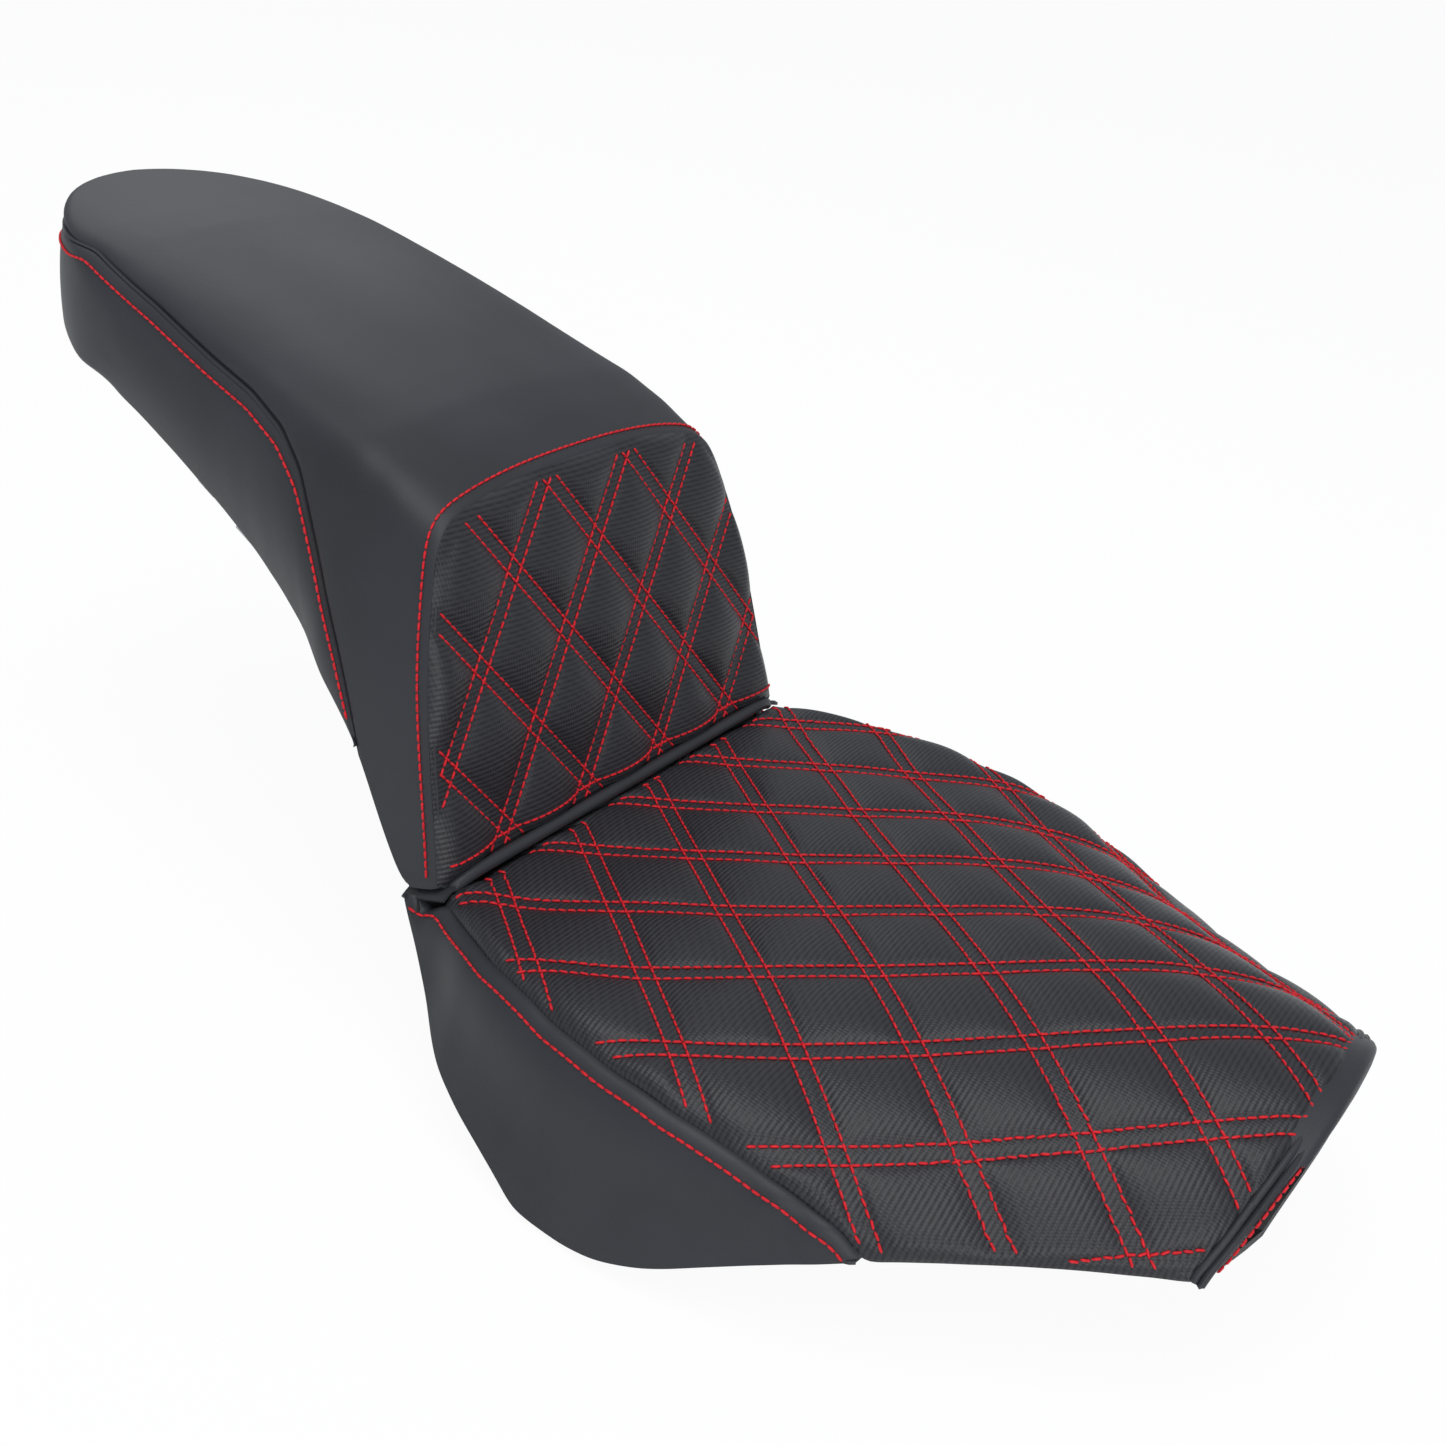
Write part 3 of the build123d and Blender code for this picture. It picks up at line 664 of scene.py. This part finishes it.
def nose_rows(lines):
    """Last rows of the saddle, drawn on to its rounded front seam."""
    grid = np.array([sub_line(line, 0.0, 1.0, SADDLE_COLUMNS) for line in lines])
    step = (grid[-1, 0, 0] - grid[0, 0, 0]) / (len(grid) - 1)
    columns = np.arange(float(SADDLE_COLUMNS))
    seam = nose_front(grid[0, :, 1]) - NOSE_SEAM_BACK
    rows = []
    for t in np.linspace(0.1, 1.0, 10):
        wanted = (seam - grid[0, :, 0]) * t / step
        rows.append(at(grid, wanted, columns))
    rows = np.array(rows)
    rows[:, -1, 1] = 0.0
    return rows


def rider_pieces(shape, carbon, vinyl, red):
    places, lines, nose_lines = rider_profiles()
    seam_x = [x for x, _ in RIDER_SEAM]
    seam_y = [y for _, y in RIDER_SEAM]
    shares = seam_shares(lines, lambda line: np.interp(line[:, 0], seam_x, seam_y) - np.abs(line[:, 1]))
    quilted = places >= BACKREST_FOOT

    right = np.array([sub_line(line, share, 1.0, SADDLE_COLUMNS)
                      for line, share in zip(lines[quilted], shares[quilted])])
    right = np.concatenate([right, nose_rows(nose_lines)])
    whole = np.concatenate([right, mirror_y(right[:, ::-1])[:, 1:]], axis=1)
    sheet = Sheet(whole)
    sheet.flip_to(np.array((0, 0, 1.0)))
    middle = whole.shape[1] // 2
    s = sheet.across - sheet.across[:, middle:middle + 1]
    x = whole[..., 0]
    p, q = x / (DIAMOND_LONG / 2), s / (DIAMOND_WIDE / 2)
    per_mm = math.hypot(1 / DIAMOND_LONG, 1 / DIAMOND_WIDE)
    edge = np.minimum(sheet.across, sheet.across[:, -1:] - sheet.across)
    front = nose_front(whole[..., 1]) - NOSE_SEAM_BACK - x
    from_crease = x - (BACKREST_FOOT + 1.0)
    edge = np.minimum(edge, np.minimum(from_crease, front))
    height = quilt_height(p, q, per_mm, SADDLE_PUFF) * edge_fade(edge) - seam_fall(edge)
    surface = sheet.raised(height)
    piece = grid_object("rider_quilt_panel", surface, carbon, np.stack([x, s], axis=2))
    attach(piece, "root")
    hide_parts("rider_quilt_cover", "rider_quilt_foam", "rider_foam")

    stitched = Sheet(surface)
    stitched.flip_to(np.array((0, 0, 1.0)))
    rows = quilt_rows(stitched, x, s, edge)
    sew("rider_quilt_stitching", rows, red, shape)

    # Side panels, from the short seam at the crease to their point at the rim
    sided = shares > NO_PANEL
    side = np.array([inward_hem(sub_line(line, 0.0, share, SIDE_COLUMNS), HEM)
                     for line, share in zip(lines[sided], shares[sided])])
    for name, grid in (("right", side), ("left", mirror_y(side))):
        panel = Sheet(grid)
        outward = np.array((0, -1.0 if name == "right" else 1.0, 0.3))
        panel.flip_to(outward)
        gap = panel.across[:, -1:] - panel.across
        wall = panel.raised(-seam_fall(gap) * np.clip(panel.across / HEM, 0, 1))
        piece = grid_object(f"rider_side_panel_{name}", wall, vinyl)
        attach(piece, "root")
        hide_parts(f"rider_side_cover_{name}")
        row, normals = edge_row(wall, panel.normals, gap, EDGE_ROW, HEM + EDGE_ROW)
        sew(f"rider_side_stitching_{name}", [(row, normals)], red, shape)
    return surface, stitched.normals


def edge_row(surface, normals, gap, distance, least):
    """Row of stitches at an even distance from a panel's sewn edge."""
    points, ups = [], []
    for r in range(len(surface)):
        if gap[r, 0] < least:
            continue
        c = float(np.interp(-distance, -gap[r], np.arange(gap.shape[1])))
        points.append(at_place(surface, r, c))
        ups.append(at_place(normals, r, c))
    return np.array(points), np.array(ups)


def quilt_rows(sheet, x, s, edge):
    """Both rows of every quilting line on the saddle, by station x and distance s across."""
    per_mm = math.hypot(1 / DIAMOND_LONG, 1 / DIAMOND_WIDE)
    rows = []
    first, last = float(x.min()), float(x.max())
    stations = x[:, x.shape[1] // 2]
    order = np.arange(len(stations))
    for slant in (1, -1):
        for k in range(-14, 15):
            for side in (-1, 1):
                offset = side * ROW_HALF_SPACING * per_mm
                line, normals = [], []
                for place in np.arange(first, last, ROW_STEP):
                    q = slant * (2 * (k + offset) + 1 - place / (DIAMOND_LONG / 2))
                    want = q * DIAMOND_WIDE / 2
                    r = float(np.interp(place, stations, order))
                    for _ in range(3):
                        row = s[int(round(r))]
                        c = float(np.interp(want, row, np.arange(len(row))))
                        column = x[:, int(round(c))]
                        r = float(np.interp(place, column, order))
                    inside = row.min() < want < row.max() and column[0] < place < column[-1]
                    inside = inside and edge[int(round(r)), int(round(c))] > ROW_CLEAR
                    if not inside:
                        rows.append((np.array(line), np.array(normals)))
                        line, normals = [], []
                        continue
                    line.append(at_place(sheet.grid, r, c))
                    normals.append(at_place(sheet.normals, r, c))
                rows.append((np.array(line), np.array(normals)))
    return [row for row in rows if len(row[0]) > 8]


# ---------------------------------------------------------------- backrest

def backrest_point(y, v, height):
    """Point on the leaning face, v up the face from the level of the crease."""
    x = BACKREST_FOOT - v * math.sin(LEAN) + height * math.cos(LEAN)
    z = v * math.cos(LEAN) + height * math.sin(LEAN)
    return np.stack([x, y, z], axis=-1)


def backrest_outline():
    """Edge of the leaning face around its middle, as (y, v), in even turns."""
    search = tree_of("backrest_quilt_cover")
    lean_up = np.array((-math.sin(LEAN), 0, math.cos(LEAN)))
    behind = np.array((-math.cos(LEAN), 0, -math.sin(LEAN))) * 0.4
    centre = np.array((BACKREST_FOOT, 0, 0)) + lean_up * BACKREST_MIDDLE + behind
    reach = []
    for i in range(OUTLINE_POINTS):
        a = 2 * math.pi * i / OUTLINE_POINTS
        hit = first_hit(search, centre, np.array((0, 1, 0)) * math.cos(a) + lean_up * math.sin(a))
        reach.append(np.linalg.norm(hit - centre))
    reach = np.array(reach)
    other_side = (OUTLINE_POINTS // 2 - np.arange(OUTLINE_POINTS)) % OUTLINE_POINTS
    reach = (reach + reach[other_side]) / 2
    angles = 2 * np.pi * np.arange(OUTLINE_POINTS + 1) / OUTLINE_POINTS
    reach = np.append(reach, reach[0])
    return np.stack([reach * np.cos(angles), BACKREST_MIDDLE + reach * np.sin(angles)], axis=1)


def clearance_from(outline, y, v):
    """Distance from each point to the outline, negative outside it."""
    flat = np.stack([y.ravel(), v.ravel()], axis=1)
    best = np.full(len(flat), 1e9)
    for a, b in zip(outline[:-1], outline[1:]):
        side = b - a
        t = np.clip(((flat - a) @ side) / max(side @ side, 1e-9), 0, 1)
        best = np.minimum(best, np.linalg.norm(flat - a - t[:, None] * side, axis=1))
    middle = np.array((0.0, BACKREST_MIDDLE))
    turn = np.unwrap(np.arctan2(outline[:, 1] - BACKREST_MIDDLE, outline[:, 0]))
    heading = np.arctan2(flat[:, 1] - BACKREST_MIDDLE, flat[:, 0]) % (2 * np.pi)
    reach = np.interp(heading, turn, np.linalg.norm(outline - middle, axis=1))
    outside = np.linalg.norm(flat - middle, axis=1) > reach
    return np.where(outside, -best, best).reshape(y.shape)


def backrest_height(outline, y, v):
    edge = clearance_from(outline, y, v)
    p, q = 6 - (v - BACKREST_ROW) / (BACKREST_LONG / 2), y / (DIAMOND_WIDE / 2)
    per_mm = math.hypot(1 / BACKREST_LONG, 1 / DIAMOND_WIDE)
    return quilt_height(p, q, per_mm, BACKREST_PUFF) * edge_fade(edge) - seam_fall(edge), edge


def backrest_pieces(carbon, red, shape):
    flat = np.column_stack([backrest_outline(), np.zeros(OUTLINE_POINTS + 1)])
    outline = resample(flat, OUTLINE_POINTS + 1)[:, :2]
    shares = np.linspace(1, 0, 62)
    grid_y = outline[:, None, 0] * shares
    grid_v = BACKREST_MIDDLE + (outline[:, None, 1] - BACKREST_MIDDLE) * shares
    height, edge = backrest_height(outline, grid_y, grid_v)
    piece = grid_object("backrest_quilt_panel", backrest_point(grid_y, grid_v, height), carbon,
                        np.stack([grid_v, grid_y], axis=2))
    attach(piece, "root")
    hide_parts("backrest_quilt_cover", "backrest_quilt_foam")
    rows = []
    per_mm = math.hypot(1 / BACKREST_LONG, 1 / DIAMOND_WIDE)
    v = np.arange(-12.0, 140.0, ROW_STEP)
    for slant in (1, -1):
        for k in range(-8, 12):
            for side in (-1, 1):
                p = 6 - (v - BACKREST_ROW) / (BACKREST_LONG / 2)
                y = slant * (2 * (k + side * ROW_HALF_SPACING * per_mm) + 1 - p) * DIAMOND_WIDE / 2
                height, edge = backrest_height(outline, y, v)
                inside = edge > ROW_CLEAR
                if inside.sum() > 9:
                    points = backrest_point(y[inside], v[inside], height[inside])
                    face = np.array((math.cos(LEAN), 0, math.sin(LEAN)))
                    rows.append((points, np.tile(face, (len(points), 1))))
    sew("backrest_quilt_stitching", rows, red, shape)
    y = np.linspace(-111.0, 111.0, 150)
    v = np.full(150, CREASE_ROW)
    height, _ = backrest_height(outline, y, v)
    face = np.tile(np.array((math.cos(LEAN), 0, math.sin(LEAN))), (150, 1))
    sew("crease_stitching", [(backrest_point(y, v, height), face)], red, shape)


# ---------------------------------------------------------------- passenger's seat

def passenger_lines():
    """Right-hand sections, rim to centre line: leaning ones, upright ones, then around the tail."""
    search = tree_of("passenger_top_cover", "passenger_side_cover_left", "passenger_side_cover_right",
                     "backrest_quilt_cover")
    lines = []
    for place in np.linspace(BACKREST_FOOT - 0.35, TAIL_AXIS, 112):
        lean = LEAN * np.clip((place + 140) / 150, 0, 1) ** 0.9
        up = np.array((-math.sin(lean), 0, math.cos(lean)))
        z = 0.0
        for _ in range(6):
            x = place - z * math.tan(lean)
            z = wall_foot(search, (x, 0.0), (0, -1, 0), -35.0, 150.0)
        level = z + OVER_RIM
        line = profile(search, (place - level * math.tan(lean), 0.0, level), (0, -1, 0), up)
        lines.append(resample(line, PASSENGER_POINTS))
    straight = len(lines)
    for turn in np.linspace(0, math.pi / 2, 45)[1:]:
        outward = (-math.sin(turn), -math.cos(turn), 0)
        z = wall_foot(search, (TAIL_AXIS, 0.0), outward, 90.0, 150.0)
        line = profile(search, (TAIL_AXIS, 0.0, z + OVER_RIM), outward, (0, 0, 1))
        lines.append(resample(line, PASSENGER_POINTS))
    lines = smoothed(np.array(lines))
    lines[:, -1, 1] = 0.0
    lines[straight - 1:, -1] = lines[straight - 1, -1]
    lines[-1, :, 1] = 0.0
    return lines


def passenger_pieces(vinyl, red, shape):
    lines = passenger_lines()
    seam_x = [x for x, _ in PASSENGER_SEAM]
    seam_z = [z for _, z in PASSENGER_SEAM]
    shares = seam_shares(lines, lambda line: line[:, 2] - np.interp(line[:, 0], seam_x, seam_z))
    shares[shares < NO_PANEL] = 0.0
    passenger_top(lines, shares, vinyl, red, shape)
    passenger_bands(lines, shares, vinyl, red, shape)


def passenger_top(lines, shares, vinyl, red, shape):
    """Smooth top that wraps the sides of the backrest, with one row of stitches around it."""
    first = int(np.argmax(shares > 0))
    hems = np.where(shares > 0, 0.0, HEM)
    for i in range(5):
        hems[first - 1 - i] = HEM * i / 5

    top = np.array([inward_hem(sub_line(line, share, 1.0, TOP_COLUMNS), hem)
                    for line, share, hem in zip(lines, shares, hems)])
    whole = np.concatenate([top, mirror_y(top)[::-1][1:]])
    panel = Sheet(whole)
    panel.flip_to(np.array((0, 0, 1.0)))
    half = len(top)
    edge = panel.across - panel.across[:, HEM_POINTS:HEM_POINTS + 1]
    sewn = np.concatenate([shares > 0, (shares > 0)[::-1][1:]])[:, None]
    drop = np.where(sewn, seam_fall(edge), 0.0)
    front = np.where(edge >= 0, np.linalg.norm(whole - whole[0:1], axis=2), 99.0)
    front[half:] = np.linalg.norm(whole[half:] - whole[-1:], axis=2)
    drop = np.maximum(drop, seam_fall(front) * (edge >= 0))
    surface = panel.raised(-drop)
    surface[:, -1, 1] = 0.0
    piece = grid_object("passenger_top_panel", surface, vinyl)
    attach(piece, "root")
    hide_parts("passenger_top_cover", "passenger_foam")

    # One row around the backrest, on the smooth side of its seam
    points, ups = [], []
    for column in range(HEM_POINTS + 2, whole.shape[1]):
        steps = np.linalg.norm(np.diff(surface[:half, column], axis=0), axis=1)
        travel = np.concatenate([[0], np.cumsum(steps)])
        r = float(np.interp(EDGE_ROW, travel, np.arange(half)))
        points.append(at_place(surface, r, column))
        ups.append(at_place(panel.normals, r, column))
    points, ups = np.array(points), np.array(ups)
    if ups[0, 1] >= 0:
        ups = -ups
    points = np.concatenate([points, mirror_y(points)[::-1][1:]])
    ups = np.concatenate([ups, mirror_y(ups)[::-1][1:]])
    sew("backrest_edge_stitching", [(points, ups)], red, shape)


def passenger_bands(lines, shares, vinyl, red, shape):
    """Bands below the seam, meeting at the tail."""
    kept = shares > 0
    band = np.array([inward_hem(sub_line(line, 0.0, share, BAND_COLUMNS), HEM)
                     for line, share in zip(lines[kept], shares[kept])])
    for name, grid in (("right", band), ("left", mirror_y(band))):
        side = Sheet(grid)
        side.flip_to(np.array((0, -1.0 if name == "right" else 1.0, 0)))
        gap = side.across[:, -1:] - side.across
        steps = np.linalg.norm(np.diff(grid[:, BAND_COLUMNS // 3], axis=0), axis=1)
        along_band = np.concatenate([[0], np.cumsum(steps)])
        tail_gap = (along_band[-1] - along_band)[:, None]
        length = np.maximum(side.across[:, -1:] - HEM, 1)
        belly = BAND_BULGE * np.sin(np.pi * np.clip((side.across - HEM) / length, 0, 1)) ** 0.8
        belly = belly * np.clip(length / 60, 0, 1)
        height = belly - seam_fall(gap) * np.clip(side.across / HEM, 0, 1) - 0.5 * seam_fall(tail_gap)
        surface = side.raised(height)
        surface[-1, :, 1] = 0.0
        piece = grid_object(f"passenger_side_panel_{name}", surface, vinyl)
        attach(piece, "root")
        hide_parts(f"passenger_side_cover_{name}")
        row, normals = edge_row(surface, side.normals, gap, EDGE_ROW, HEM + EDGE_ROW + 2)
        sew(f"passenger_side_stitching_{name}", [(row, normals)], red, shape)


# ---------------------------------------------------------------- nose strip and welts

def tube(name, path, radius, material, node):
    """Rolled welt along a path, closed at both ends."""
    heading = np.gradient(path, axis=0)
    heading /= np.linalg.norm(heading, axis=1, keepdims=True)
    side = np.cross(heading, np.array((1.0, 0, 0.15)))
    side /= np.linalg.norm(side, axis=1, keepdims=True)
    up = np.cross(side, heading)
    turns = np.linspace(0, 2 * np.pi, WELT_SIDES + 1)
    sizes = np.full(len(path), radius)
    sizes[[0, -1]] = 0.0
    grid = (path[:, None] + side[:, None] * (sizes[:, None] * np.cos(turns))[..., None]
            + up[:, None] * (sizes[:, None] * np.sin(turns))[..., None])
    piece = grid_object(name, grid, material, thickness=0)
    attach(piece, "root")
    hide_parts(node)


def nose_pieces(vinyl, red, shape, saddle):
    """Strip that folds over the front seam and under into the hollow, with its rolled welt."""
    surface, normals = saddle
    seam = surface[-1]
    outward = normals[-1].copy()
    outward[:, 0] = 0
    outward /= np.maximum(np.linalg.norm(outward, axis=1, keepdims=True), 1e-9)
    search = tree_of("nose_cover")
    inner = []
    base = seam[0, 2]
    for degrees in np.linspace(0, 90, 120):
        a = math.radians(degrees)
        outward_ray = Vector((0, -math.cos(a), math.sin(a)))
        hit = search.ray_cast(to_frame((INNER_EDGE, 0, base)), outward_ray, 0.3)[0]
        if hit is not None:
            inner.append(np.array((hit - Vector(CREASE)) / MM))
    inner = resample(inner, SADDLE_COLUMNS)
    inner[-1, 1] = 0.0
    inner = np.concatenate([inner, mirror_y(inner[::-1])[1:]])
    front = nose_front(seam[:, 1])

    def ring(ahead, lift, share):
        points = (seam + outward * lift) * (1 - share) + inner * share
        points[:, 0] = front + ahead
        return points

    piece = grid_object("nose_panel", np.array([ring(*stage) for stage in NOSE_STAGES]), vinyl)
    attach(piece, "root")
    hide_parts("nose_cover")
    tube("nose_rolled_welt", seam + outward * NOSE_WELT_LIFT, NOSE_WELT_RADIUS, vinyl, "nose_welt")
    row = ring(*NOSE_ROW)[4:-4]
    sew("nose_stitching", [(row, np.tile(np.array((1.0, 0, 0)), (len(row), 1)))], red, shape)


def crease_pieces(vinyl):
    """Rolled welt in the crease, dipping at its ends, and a gusset at each end."""
    z = CREASE_WELT_LEVEL
    x = BACKREST_FOOT - z * math.tan(LEAN) + CREASE_WELT_OUT / math.cos(LEAN)
    y = np.linspace(-CREASE_WELT_HALF, CREASE_WELT_HALF, 90)
    flat_half = CREASE_WELT_HALF - CREASE_WELT_DIP_LENGTH
    dip = CREASE_WELT_DIP * np.clip((np.abs(y) - flat_half) / CREASE_WELT_DIP_LENGTH, 0, 1) ** 2
    path = np.stack([x - dip * 0.5, y, z - dip], axis=1)
    tube("crease_rolled_welt", path, CREASE_WELT_RADIUS, vinyl, "crease_welt")
    for name, sign in (("right", -1), ("left", 1)):
        x = np.linspace(*GUSSET_X, 26)[:, None]
        t = np.linspace(0, 1, 24)[None, :]
        plane = -3.0 + math.tan(CREASE_SLOPE) * (x - CREASE_X)
        y = sign * (GUSSET_OUTER_Y - GUSSET_WIDTH * t) * np.ones_like(x)
        z = plane - 3.4 * (1 - t) ** 3 + 1.5 * np.sin(np.pi * np.clip(t * 2.2, 0, 1)) + 0.3
        piece = grid_object(f"crease_gusset_{name}", np.stack([x * np.ones_like(t), y, z], axis=2), vinyl)
        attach(piece, "root")


# ---------------------------------------------------------------- the seat

add_camera()
add_studio()
carbon = carbon_vinyl()
vinyl = smooth_vinyl()
red = thread()
shape = stitch_shape()
saddle = rider_pieces(shape, carbon, vinyl, red)
backrest_pieces(carbon, red, shape)
passenger_pieces(vinyl, red, shape)
nose_pieces(vinyl, red, shape, saddle)
crease_pieces(vinyl)

# The pan, brackets, bumpers and fasteners keep their own shape and get these finishes
HARD_MATERIALS = {
    "pan_plastic": plain_grained("pan_moulded", (0.012, 0.012, 0.013), (0.022, 0.022, 0.024),
                                 0.55, 900.0, 0.25),
    "bumper_rubber": plain_grained("bumper_moulded", (0.010, 0.010, 0.010), (0.018, 0.018, 0.018),
                                   0.8, 1400.0, 0.2),
    "brass": plain_grained("brass_turned", (0.50, 0.32, 0.09), (0.62, 0.42, 0.14),
                           0.3, 2500.0, 0.1, 1.0),
    "bracket_steel": plain_grained("bracket_coated", (0.016, 0.016, 0.017), (0.030, 0.030, 0.032),
                                   0.42, 1800.0, 0.15),
    "fastener_steel": plain_grained("fastener_zinc", (0.36, 0.37, 0.38), (0.52, 0.53, 0.55),
                                    0.32, 2600.0, 0.1, 1.0),
}
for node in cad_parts.values():
    for slot in node.material_slots:
        name = slot.material.name if slot.material else ""
        for key, material in HARD_MATERIALS.items():
            if key in name:
                slot.material = material
